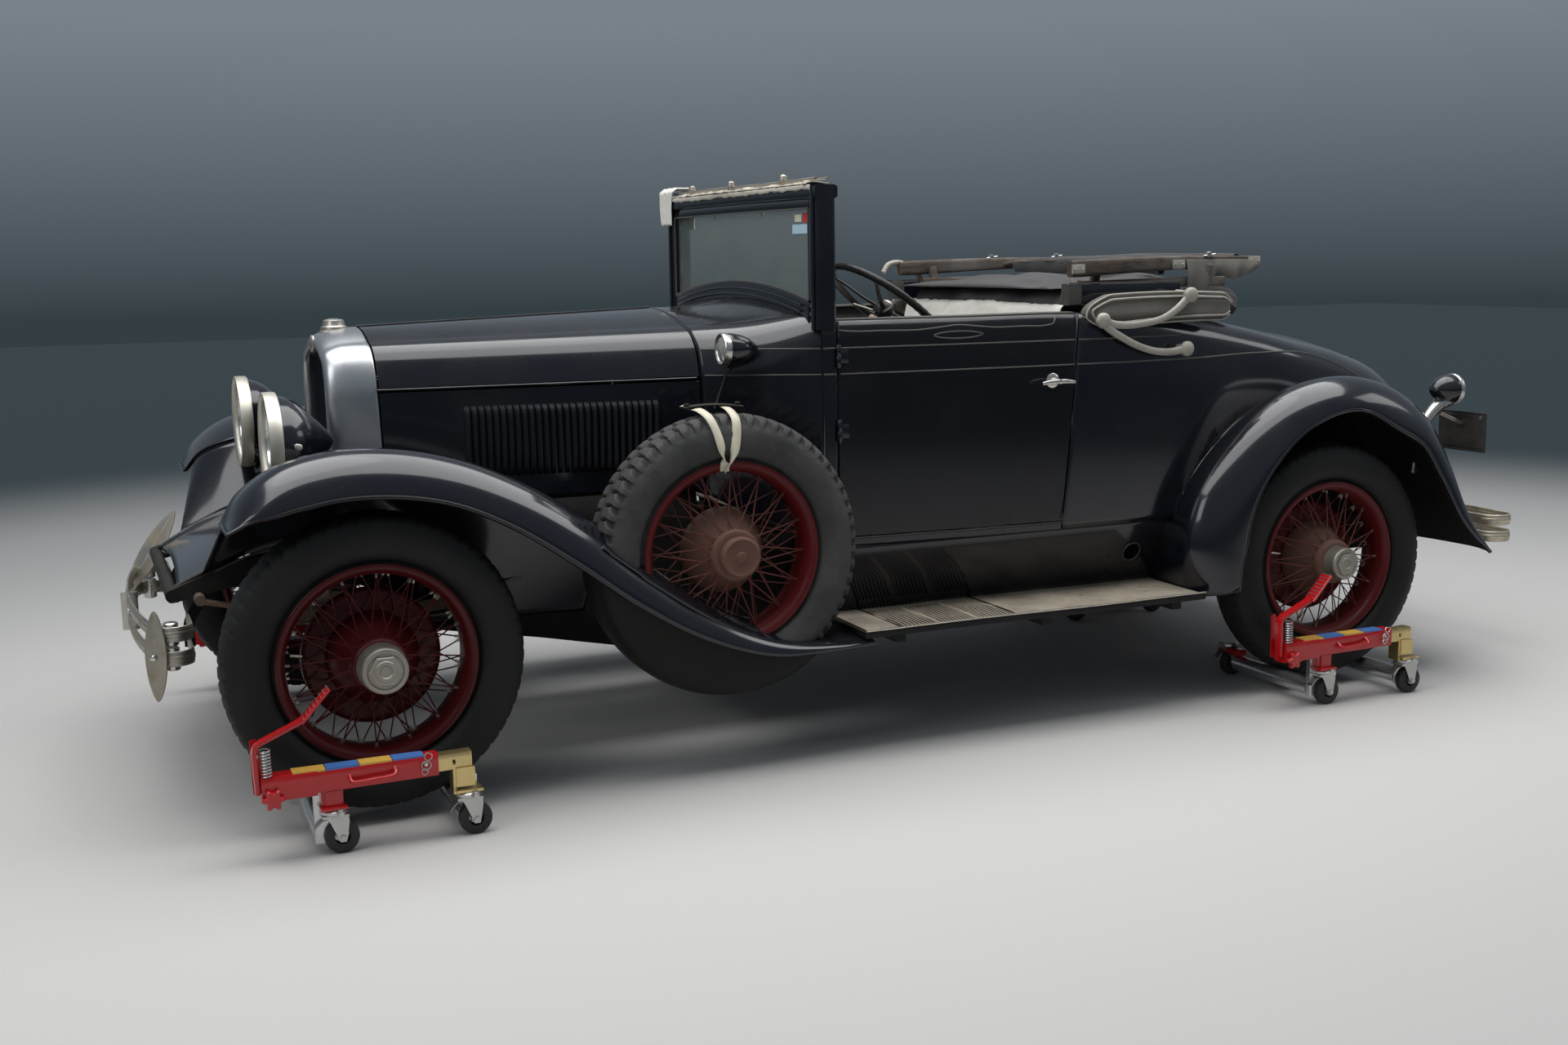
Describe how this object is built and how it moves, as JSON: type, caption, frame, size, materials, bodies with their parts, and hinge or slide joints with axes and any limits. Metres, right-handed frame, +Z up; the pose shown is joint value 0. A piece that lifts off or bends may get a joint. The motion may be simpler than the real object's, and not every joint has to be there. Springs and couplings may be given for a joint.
{
  "type": "vintage convertible coupe",
  "caption": "Open two-seat vintage coupe with rumble seat, side-mounted spares, wire wheels and a folded top, standing on wheel dollies.",
  "frame": {"origin": "middle of the bounding box in plan, on the floor", "axes": "+X to the car's rear, +Y to the car's right, +Z up"},
  "size_m": [4.8613, 2.01, 1.73],
  "materials": {
    "black_paint": "gloss black, aged",
    "frame_black": "satin black",
    "engine_iron": "matte",
    "exhaust_steel": "rusted",
    "tyre_rubber": "matte",
    "red_wheel_paint": "satin dark red",
    "nickel": "worn satin",
    "dusty_glass": "dusty",
    "dash_wood": "satin",
    "black_plastic": "worn gloss",
    "white_cloth": "matte",
    "lamp_glass": "clear, fluted",
    "board_rubber": "dusty matte",
    "iron_grey": "worn satin",
    "weathered_wood": "weathered",
    "top_cloth": "matte",
    "dolly_red": "gloss",
    "dolly_steel": "zinc plated"
  },
  "bodies": {
    "car": {"body_tub": "black_paint", "cowl": "black_paint", "front_fenders": "black_paint", "rear_fenders": "black_paint", "running_board_aprons": "black_paint", "chassis_frame": "frame_black", "front_axle": "frame_black", "rear_axle": "frame_black", "leaf_springs": "frame_black", "engine_block": "engine_iron", "exhaust": "exhaust_steel", "fuel_tank": "frame_black", "spare_tyres": "tyre_rubber", "spare_wheels": "red_wheel_paint", "radiator_shell": "nickel", "radiator_grille": "frame_black", "windshield_frame": "black_paint", "windshield_glass": "dusty_glass", "dashboard": "dash_wood", "steering_wheel": "black_plastic", "seat_cushion": "white_cloth", "seat_back": "white_cloth", "headlamps": "black_paint", "headlamp_lenses": "lamp_glass", "cowl_lamps": "black_paint", "running_boards": "board_rubber", "front_bumper": "nickel", "rear_bumper": "nickel", "tail_lamps": "black_paint", "top_irons": "iron_grey", "top_rails": "weathered_wood", "top_fabric": "top_cloth", "rear_dolly_frames": "dolly_red", "rear_dolly_gear": "dolly_steel"},
    "wheel_front_left": {"wheel_front_left": "red_wheel_paint", "tyre_front_left": "tyre_rubber"},
    "wheel_front_right": {"wheel_front_right": "red_wheel_paint", "tyre_front_right": "tyre_rubber"},
    "wheel_rear_left": {"wheel_rear_left": "red_wheel_paint", "tyre_rear_left": "tyre_rubber"},
    "wheel_rear_right": {"wheel_rear_right": "red_wheel_paint", "tyre_rear_right": "tyre_rubber"},
    "knuckle_left": {"knuckle_left": "frame_black", "dolly_frame_front_left": "dolly_red", "dolly_gear_front_left": "dolly_steel"},
    "knuckle_right": {"knuckle_right": "frame_black", "dolly_frame_front_right": "dolly_red", "dolly_gear_front_right": "dolly_steel"},
    "tie_rod": {"tie_rod": "frame_black"},
    "door_left": {"door_left": "black_paint"},
    "door_right": {"door_right": "black_paint"},
    "bonnet_left": {"bonnet_left": "black_paint"},
    "bonnet_right": {"bonnet_right": "black_paint"},
    "rumble_lid": {"rumble_lid": "black_paint"}
  },
  "joints": [
    {"name": "steer_left", "type": "hinge", "parent": "car", "child": "knuckle_left", "pos_m": [-1.83475, -0.6, 0.45], "axis": [0, 0, 1], "range_deg": [-26, 26]},
    {"name": "steer_right", "type": "hinge", "parent": "car", "child": "knuckle_right", "pos_m": [-1.83475, 0.6, 0.45], "axis": [0, 0, 1], "range_deg": [-26, 26]},
    {"name": "tie_rod_pivot", "type": "hinge", "parent": "knuckle_left", "child": "tie_rod", "pos_m": [-1.68475, -0.6, 0.384], "axis": [0, 0, 1], "range_deg": [-26, 26]},
    {"name": "spin_front_left", "type": "hinge", "parent": "knuckle_left", "child": "wheel_front_left", "pos_m": [-1.83475, -0.735, 0.45], "axis": [0, 1, 0], "continuous": true},
    {"name": "spin_rear_left", "type": "hinge", "parent": "car", "child": "wheel_rear_left", "pos_m": [1.41525, -0.735, 0.45], "axis": [0, 1, 0], "continuous": true},
    {"name": "spin_front_right", "type": "hinge", "parent": "knuckle_right", "child": "wheel_front_right", "pos_m": [-1.83475, 0.735, 0.45], "axis": [0, 1, 0], "continuous": true},
    {"name": "spin_rear_right", "type": "hinge", "parent": "car", "child": "wheel_rear_right", "pos_m": [1.41525, 0.735, 0.45], "axis": [0, 1, 0], "continuous": true},
    {"name": "door_left_swing", "type": "hinge", "parent": "car", "child": "door_left", "pos_m": [-0.38575, -0.65457, 1], "axis": [0, 0, -1], "range_deg": [0, 65]},
    {"name": "door_right_swing", "type": "hinge", "parent": "car", "child": "door_right", "pos_m": [-0.38575, 0.65457, 1], "axis": [0, 0, 1], "range_deg": [0, 65]},
    {"name": "bonnet_left_lift", "type": "hinge", "parent": "car", "child": "bonnet_left", "pos_m": [-1.71775, 0, 1.324], "axis": [-0.9994, 0, -0.0346], "range_deg": [0, 60]},
    {"name": "bonnet_right_lift", "type": "hinge", "parent": "car", "child": "bonnet_right", "pos_m": [-1.71775, 0, 1.324], "axis": [0.9994, 0, 0.0346], "range_deg": [0, 60]},
    {"name": "rumble_lid_lift", "type": "hinge", "parent": "car", "child": "rumble_lid", "pos_m": [2.06825, 0, 1.08869], "axis": [0, 1, 0], "range_deg": [0, 65]}
  ],
  "couplings": [
    {"joint": "steer_right", "follows": "steer_left", "ratio": 1},
    {"joint": "tie_rod_pivot", "follows": "steer_left", "ratio": -1}
  ]
}
